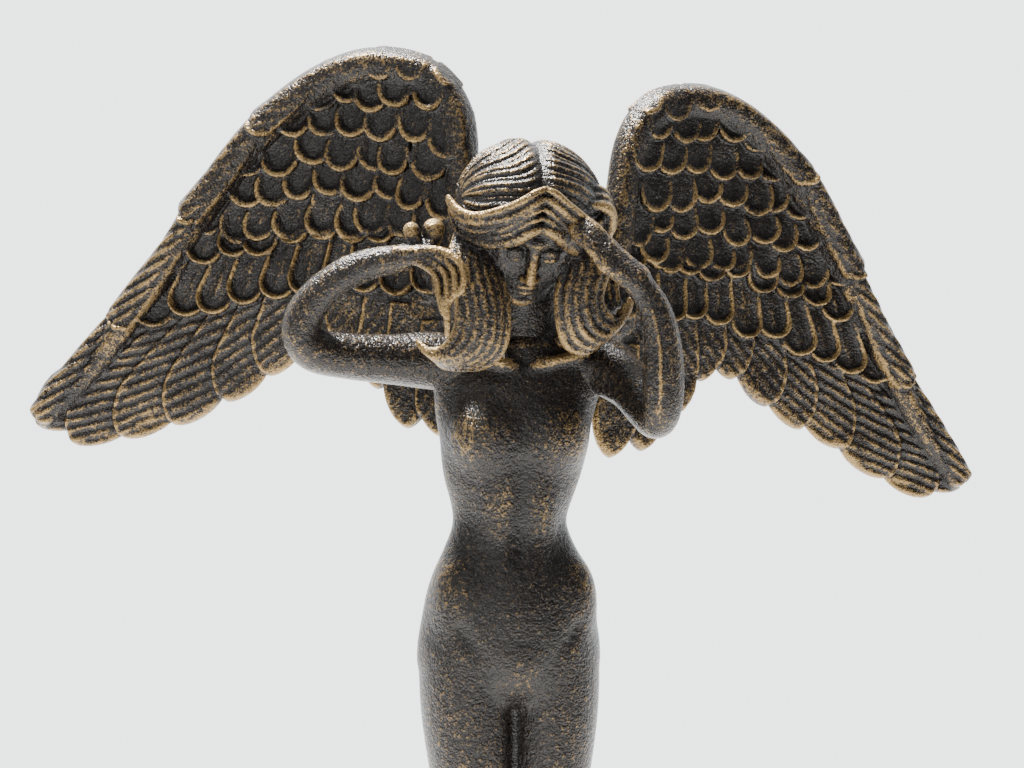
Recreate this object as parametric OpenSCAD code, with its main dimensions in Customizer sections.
// Standing winged figurine on a turned plinth.
// Figure faces -Y, +X is its left-hand side, +Z is up, and the origin is the centre of the resting face.
// Cast pieces: body, head, two arms, two wings and plinth. Steel dowels, rods, screws and nuts join them.

/* [Figure] */
// Height of the figure from its soles to the crown of its hair
figure_h = 301; // [240:1:360]
// Forward bow of the head, in degrees
head_bow = 36; // [25:1:42]

/* [Wings] */
// Reach of one wing from its inner edge to its tip, before it is turned
wing_w = 128; // [112:1:134]
// Thickness of a feather
feather_t = 4.2; // [3.4:0.1:5]
// How far the outer edge of a wing cups forward
wing_cup = 17; // [6:1:22]

/* [Plinth] */
// Radius of the plinth at its foot
plinth_r = 54; // [48:1:64]
// Height of the plinth without its felt
plinth_h = 28; // [24:1:36]
// Thickness of the felt pad
felt_t = 2; // [1:0.5:3]

/* [Fixings] */
// Diameter of the threaded rods in the legs
rod_d = 4; // [3:0.5:5]
// Diameter of the steel dowels in the neck and shoulders
dowel_d = 4; // [3:0.5:5]
// Diameter of the wing screws
screw_d = 3; // [2.5:0.5:3.5]
// Gap around every rod, dowel and screw in its hole
fit_gap = 0.15; // [0.1:0.05:0.3]

/* [Hidden] */

bronze = [0.20, 0.15, 0.10];
steel = [0.62, 0.63, 0.65];
felt = [0.05, 0.05, 0.05];

k = figure_h / 301;           // every figure dimension below is for a 301 mm figure
sole_z = felt_t + plinth_h;   // height of the soles above the table

// A point of the figure, given in mm from the middle of its soles.
function at(p) = [p[0] * k, p[1] * k, sole_z + p[2] * k];

// Torso rings: height, half width, half depth, x and y of the centre.
torso_rings = [
    [147, 19.5, 12, 0, 3], [151, 24.4, 14.5, 0, 2.5], [156, 25.5, 15.5, 0, 2], [164, 25, 15, 0, 1.5],
    [171, 23.6, 13.6, 0, 1], [178, 21.3, 12, 0, 0.5], [185, 18.6, 11, 0, 0], [191.5, 16.2, 10.2, 0, 0],
    [198, 16.7, 10.6, 0, 0], [205, 18.1, 11.4, 0, 0], [214, 20.3, 12.6, 0.5, 0], [222, 22.7, 13, 1, 0.5],
    [230, 24.2, 12.6, 2, 1.5], [236, 23.2, 11, 2.5, 2], [240, 16, 8.5, 3, 1.5]
];

// Leg rings for the figure's left leg: height, half width, half depth, x and y of the centre.
leg_rings = [
    [158, 12.4, 14.6, 12.4, 2], [141, 12.4, 14, 12.3, 1], [124, 11, 12.4, 11.1, 0], [100, 9, 10, 9.3, -0.5],
    [80, 7.6, 8.2, 8, -0.5], [70, 7.2, 7.8, 7.6, 0], [58, 7.3, 8.4, 7.5, 2.5], [44, 6.6, 7.8, 7.1, 4.5],
    [28, 4.8, 5.4, 6.6, 5.5], [15, 3.9, 4.6, 6.4, 6], [8, 4.6, 6, 6.6, 5]
];

// Joints of the figure's limbs and head, in mm from the middle of the soles.
head_c = [1.8, -12, 276];
neck_foot = [2.4, 2.6, 238];
neck_top = [2.2, -0.8, 257];
right_shoulder = [-19, 2, 237];
left_shoulder = [26, 1, 237];

// The right arm reaches out to its elbow and curls back over to the hair: point and radius.
right_arm_line = [
    [right_shoulder, 7.6], [[-38, -4, 238.5], 6.8], [[-58, -8, 241], 6.4], [[-58.5, -10, 248], 5.8],
    [[-53, -12, 257], 4.9], [[-44, -15, 263.5], 4.3], [[-32, -19, 266.5], 4]
];
right_palm = [[-32, -19, 266.5], [-24, -23, 264.5], [-20, -26, 256]];

// The left arm drops forward to its elbow and rises to lay the hand on the hair.
left_arm_line = [
    [left_shoulder, 8], [[32.5, -13, 229.5], 6.6], [[35, -28, 222], 5.4], [[36, -31, 229], 5.7],
    [[35.8, -32.5, 241], 5.3], [[33.4, -33.4, 252.5], 4.4], [[28.4, -33, 260.5], 3.8]
];
left_palm = [[28.4, -33, 260.5], [20.8, -31.8, 267], [12.6, -29.8, 274.5]];

// Hair that falls at either side of the face: point and radius.
right_lock = [
    [[-15.5, -18, 268], 6], [[-15.5, -21, 258], 5.6], [[-14.5, -20.5, 249], 5.4], [[-19, -17, 241], 4.2]
];
left_lock = [
    [[18.5, -18, 268], 6], [[18.5, -20.5, 258], 5.6], [[18.5, -20, 249], 5], [[26, -16, 247.5], 3.6]
];
back_lock = [
    [[2.6, 5, 264], 14], [[3.2, 8.5, 250], 13], [[3, 12, 238], 9], [[2.8, 14, 228], 5.4],
    [[2.6, 14, 217], 2.8]
];

// Wing mountings: where the foot of the inner edge stands, the turn backwards and the lean sideways.
right_wing_set = [[-10, 22, 217], 28, 3.2];
left_wing_set = [[27.5, 20, 211], 24, 4];

finger_r = 1.5;

// Steel dowels: the two ends of each.
neck_dowel_ends = [[2.4, 2.6, 233], [2.3, 0.2, 254]];
right_dowel_ends = [[-12, 2, 236], [-33, -2.5, 238.5]];
left_dowel_ends = [[15, 2, 236], [32, -9, 231.5]];

// Wing screws and the bosses that they pass through.
boss_r = 6.5;
boss_z = 229;
screw_gap = 3.2;                      // each screw's distance above or below the middle of its boss
screw_seat_y = 20;                    // where the screw heads bear
screw_len = 16;
screw_head_h = 2;

// Plinth, and the recesses that take the rods' washers and nuts.
plinth_step_r = plinth_r - 6;
plinth_top_r = plinth_r - 11;
recess_r = 8;
recess_h = 9;
washer_r = 6;
washer_t = 1;
nut_r = 4.1;
nut_h = 3.4;
rod_low = felt_t + 3;                 // lower end of the rods, inside the recesses
rod_top = 50;                         // how far the rods reach up the legs
rod_x = 6.5;
rod_y = 5.6;

// ---- shapes used by several castings ----

// An elliptical disc, one slice of a loft.
module ring(c, w, d) {
    translate(c) linear_extrude(0.4 * k, center = true) scale([w * k, d * k]) circle(r = 1, $fn = 24);
}

// A loft through rings of [height, half width, half depth, x, y].
module ring_loft(rings) {
    for (i = [0 : len(rings) - 2]) hull() {
        for (r = [rings[i], rings[i + 1]]) ring(at([r[3], r[4], r[0]]), r[1], r[2]);
    }
}

// A limb through balls of [point, radius].
module ball_chain(line, sides = 18) {
    for (i = [0 : len(line) - 2]) hull() {
        for (b = [line[i], line[i + 1]]) translate(at(b[0])) sphere(r = b[1] * k, $fn = sides);
    }
}

module ball(c, size) {
    translate(at(c)) scale(size * k) sphere(r = 1, $fn = 20);
}

// A straight pin from one point of the figure to another.
module pin(a, b, d) {
    p = at(a);
    q = at(b);
    v = q - p;
    translate(p) rotate([0, acos(v[2] / norm(v)), atan2(v[1], v[0])])
        cylinder(d = d, h = norm(v), $fn = 24);
}

// ---- dowels, rods and screws ----

module neck_pin(d) {
    pin(neck_dowel_ends[0], neck_dowel_ends[1], d);
}

module right_shoulder_pin(d) {
    pin(right_dowel_ends[0], right_dowel_ends[1], d);
}

module left_shoulder_pin(d) {
    pin(left_dowel_ends[0], left_dowel_ends[1], d);
}

module rods(d, low = rod_low, high = rod_top) {
    for (side = [-1, 1]) translate([side * rod_x * k, rod_y * k, low])
        cylinder(d = d, h = sole_z + high * k - low, $fn = 24);
}

// ---- body ----

module leg(side) {
    mirror([side < 0 ? 1 : 0, 0, 0]) {
        ring_loft(leg_rings);
        // foot: heel, instep and toes
        hull() {
            ball([6.6, 8.5, 4.6], [4.8, 5, 4.8]);
            ball([6.6, 3, 9], [4.6, 6, 6]);
        }
        hull() {
            ball([6.6, 4, 7], [4.6, 6, 6.8]);
            ball([7.4, -14, 3.6], [6, 7, 3.4]);
        }
        hull() {
            ball([7.4, -14, 3.2], [6.2, 7, 3.2]);
            ball([8, -24, 2.6], [5.6, 5, 2.5]);
        }
    }
}

module torso() {
    ring_loft(torso_rings);
    // breasts, buttocks and belly
    for (side = [-1, 1]) ball([1 + side * 10, -4.6, 216], [9.6, 9, 10.5]);
    for (side = [-1, 1]) ball([side * 10.5, 7, 152], [12, 11, 14]);
    ball([0, -3, 168], [19, 11.5, 20]);
}

module body_casting() {
    color(bronze) difference() {
        union() {
            torso();
            leg(1);
            leg(-1);
        }
        // the soles are flat on the plinth
        translate([-60, -80, sole_z - 20]) cube([120, 160, 20]);
        rods(rod_d + 2 * fit_gap, sole_z - 1, rod_top + 0.5);
        neck_pin(dowel_d + 2 * fit_gap);
        right_shoulder_pin(dowel_d + 2 * fit_gap);
        left_shoulder_pin(dowel_d + 2 * fit_gap);
        wing_screw_holes(screw_d);
    }
}

// ---- head and hair ----

module skull() {
    translate(at(head_c)) rotate([head_bow, -5, 0]) scale(k) {
        scale([14.5, 16.5, 16]) sphere(r = 1, $fn = 24);
        translate([0, -7.5, -9]) scale([10.6, 9.4, 14.5]) sphere(r = 1, $fn = 24);
        translate([0, -16, -9]) scale([1.8, 3.2, 5]) sphere(r = 1, $fn = 16);
    }
}

// A cap of hair that leaves the face open, made of slices of an egg around the crown.
module hair_cap() {
    difference() {
        translate(at(head_c + [0, 2, 4])) rotate([head_bow * 0.4, -4, 0])
            scale([21.6, 21.6, 20.6] * k) sphere(r = 1, $fn = 32);
        // the opening of the face
        translate(at(head_c)) rotate([head_bow, -5, 0]) scale(k) translate([0, -15, -15])
            scale([10.5, 16, 17]) sphere(r = 1, $fn = 24);
    }
}

module head_solid() {
    skull();
    hair_cap();
    ball_chain([[neck_foot, 7], [neck_top, 7.2], [head_c + [0, 4, -8], 8]], 20);
    ball_chain(right_lock, 16);
    ball_chain(left_lock, 16);
}

module head_casting() {
    color(bronze) difference() {
        union() {
            head_solid();
            ball_chain(back_lock, 20);
        }
        torso();
        neck_pin(dowel_d + 2 * fit_gap);
        wing_foot(right_wing_set, -1);
        wing_foot(left_wing_set, 1);
    }
}

// ---- arms ----

// Four fingers side by side, from their roots to their tips.
module fingers(root, tip, spread) {
    for (a = [-1.5 : 1.5]) {
        hull() {
            translate(at(root + spread * a)) sphere(r = finger_r * 1.15 * k, $fn = 14);
            translate(at((root + tip) / 2 + spread * a * 1.05)) sphere(r = finger_r * k, $fn = 14);
        }
        hull() {
            translate(at((root + tip) / 2 + spread * a * 1.05)) sphere(r = finger_r * k, $fn = 14);
            translate(at(tip + spread * a * 0.9)) sphere(r = finger_r * 0.8 * k, $fn = 14);
        }
    }
}

module right_arm_stock() {
    ball_chain(right_arm_line);
    hull() {
        translate(at(right_palm[0])) sphere(r = 4.2 * k, $fn = 18);
        translate(at(right_palm[1])) sphere(r = 4.4 * k, $fn = 18);
    }
    fingers(right_palm[1], right_palm[2], [1.2, -1.8, 0.8]);
}

module left_arm_stock() {
    ball_chain(left_arm_line);
    hull() {
        translate(at(left_palm[0])) sphere(r = 4.2 * k, $fn = 18);
        translate(at(left_palm[1])) sphere(r = 4.1 * k, $fn = 18);
    }
    fingers(left_palm[1], left_palm[2], [1.1, 0.3, 1.6]);
}

module right_arm() {
    color(bronze) difference() {
        right_arm_stock();
        torso();
        head_solid();
        right_shoulder_pin(dowel_d + 2 * fit_gap);
    }
}

module left_arm() {
    color(bronze) difference() {
        left_arm_stock();
        torso();
        head_solid();
        left_shoulder_pin(dowel_d + 2 * fit_gap);
    }
}

// ---- wings ----

// A point of a wing: u outward from its inner edge, v above its zero line, w forward of its mid surface.
wing_drawn = 128;                     // the reach that the numbers below draw
function cup_y(u) = -wing_cup * pow(max(u, 0) / wing_drawn, 2);
function wing_at(u, v, w = 0) = [u, cup_y(u) - w, v];

// Top and bottom of the covert field at a few places along the wing: u, bottom v, top v.
field = [[2, 40, 90], [10, 24, 96], [22, 26, 102], [37, 34, 101], [50, 32, 94], [64, 22, 82], [78, 14, 65],
         [93, 6, 40], [109, -2, 14]];
// The rolled leading edge, from the inner edge over the top and down to the tip: u, v and radius.
front_edge = [[5, 52, 4.5], [4.5, 72, 4.5], [6, 90, 5], [14, 98.5, 5], [26, 102.5, 5], [39, 101, 5.5],
              [53, 93, 6], [67, 80, 6], [80, 63, 5.6], [94, 40, 5], [110, 13, 4], [125, -8, 3]];
// Feather tips along the trailing edge, from the wing tip inwards, and how long each feather shows.
tips = [[125.5, -10], [118, -13], [109, -10.5], [99, -7], [88, -3], [78, 1], [69.5, 5.5], [61, 12],
        [52.5, 17], [44, 22], [36, 21], [28, 16], [21, 9], [13, 2.5], [5, 1]];
feather_len = 34;
feather_half_w = 5.4;

// A feather is a flat blade that leans outwards more towards the wing tip.
module feather(tip) {
    lean = 38 * tip[0] / wing_drawn;
    root = tip + feather_len * [-sin(lean), cos(lean)];
    hull() {
        for (p = [root, tip + feather_half_w * [-sin(lean), cos(lean)]])
            translate(wing_at(p[0], p[1])) rotate([90, 0, 0])
                cylinder(r = feather_half_w, h = feather_t, center = true, $fn = 16);
    }
}

module wing_shape() {
    for (tip = tips) feather(tip);
    for (i = [0 : len(front_edge) - 2]) hull() {
        for (e = [front_edge[i], front_edge[i + 1]])
            translate(wing_at(e[0], e[1], 1)) scale([1, 0.8, 1]) sphere(r = e[2], $fn = 12);
    }
    for (i = [0 : len(field) - 2]) hull() {
        for (f = [field[i], field[i + 1]])
            translate(wing_at(f[0], f[1]) - [0.1, feather_t / 2, 0]) cube([0.2, feather_t, f[2] - f[1]]);
    }
}

// Where a wing stands: its inner edge moves to set[0], it turns back by set[1] and leans by set[2].
module set_wing(set, side) {
    translate(at(set[0])) rotate([0, set[2], side * set[1]]) mirror([side < 0 ? 1 : 0, 0, 0])
        scale(k * wing_w / wing_drawn) children();
}

function boss_x(side) = 3 + side * 10;

// Each wing has a foot that carries its boss to the back.
module wing_foot(set, side) {
    translate(at([boss_x(side), 6, boss_z])) rotate([-90, 0, 0])
        cylinder(r = boss_r * k, h = 10 * k, $fn = 28);
    hull() {
        translate(at([boss_x(side), 15, boss_z])) rotate([-90, 0, 0])
            cylinder(r = boss_r * k, h = 7 * k, $fn = 28);
        set_wing(set, side) for (v = [30, 46]) translate(wing_at(7, v)) rotate([90, 0, 0])
            cylinder(r = 7, h = feather_t, center = true, $fn = 20);
    }
}

// Moves a shape that points along +Z to each screw's seat, pointing forwards.
module at_screws() {
    for (side = [-1, 1]) for (dz = [-screw_gap, screw_gap])
        translate(at([boss_x(side), screw_seat_y, boss_z + dz])) rotate([90, 0, 0]) children();
}

module wing_screw_holes(d) {
    at_screws() cylinder(d = d, h = screw_len + 1, $fn = 24);
}

module wing(set, side) {
    color(bronze) difference() {
        union() {
            set_wing(set, side) wing_shape();
            wing_foot(set, side);
        }
        torso();
        wing_screw_holes(screw_d + 2 * fit_gap);
        // counterbores for the screw heads
        at_screws() mirror([0, 0, 1]) cylinder(d = 2 * screw_d + 2 * fit_gap, h = 20, $fn = 28);
    }
}

module right_wing() {
    wing(right_wing_set, -1);
}

module left_wing() {
    wing(left_wing_set, 1);
}

// ---- plinth and fixings ----

module plinth() {
    color(bronze) difference() {
        rotate_extrude($fn = 96) polygon([
            [0, felt_t], [plinth_r - 1, felt_t], [plinth_r, felt_t + 1], [plinth_r, felt_t + plinth_h * 0.36],
            [plinth_r - 1.2, felt_t + plinth_h * 0.42],
            for (a = [0 : 10 : 90])
                [plinth_step_r - 5 * sin(a) + 3, felt_t + plinth_h * 0.46 + 9 * (1 - cos(a))],
            [plinth_top_r, felt_t + plinth_h * 0.86], [plinth_top_r, sole_z - 1],
            [plinth_top_r - 1, sole_z], [0, sole_z]
        ]);
        rods(rod_d + 2 * fit_gap, 0, 5);
        for (side = [-1, 1]) translate([side * rod_x * k, rod_y * k, 0])
            cylinder(r = recess_r, h = felt_t + recess_h, $fn = 36);
    }
}

module leg_rods() {
    color(steel) rods(rod_d);
}

module rod_washers() {
    color(steel) for (side = [-1, 1]) translate([side * rod_x * k, rod_y * k, felt_t + recess_h - washer_t])
        difference() {
            cylinder(r = washer_r, h = washer_t, $fn = 36);
            translate([0, 0, -1]) cylinder(d = rod_d + 2 * fit_gap, h = washer_t + 2, $fn = 24);
        }
}

module rod_nuts() {
    color(steel) for (side = [-1, 1])
        translate([side * rod_x * k, rod_y * k, felt_t + recess_h - washer_t - nut_h]) difference() {
            cylinder(r = nut_r, h = nut_h, $fn = 6);
            translate([0, 0, -1]) cylinder(d = rod_d + 2 * fit_gap, h = nut_h + 2, $fn = 24);
        }
}

module felt_pad() {
    color(felt) cylinder(r = plinth_r - 2, h = felt_t, $fn = 96);
}

module neck_dowel() {
    color(steel) neck_pin(dowel_d);
}

module shoulder_dowels() {
    color(steel) {
        right_shoulder_pin(dowel_d);
        left_shoulder_pin(dowel_d);
    }
}

module wing_screws() {
    color(steel) at_screws() {
        cylinder(d = screw_d, h = screw_len, $fn = 24);
        mirror([0, 0, 1]) difference() {
            cylinder(d = 2 * screw_d, h = screw_head_h, $fn = 28);
            translate([-0.4, -screw_d, screw_head_h - 0.8]) cube([0.8, 2 * screw_d, 1]);
        }
    }
}

body_casting();
head_casting();
right_arm();
left_arm();
right_wing();
left_wing();
neck_dowel();
shoulder_dowels();
wing_screws();
leg_rods();
plinth();
rod_washers();
rod_nuts();
felt_pad();
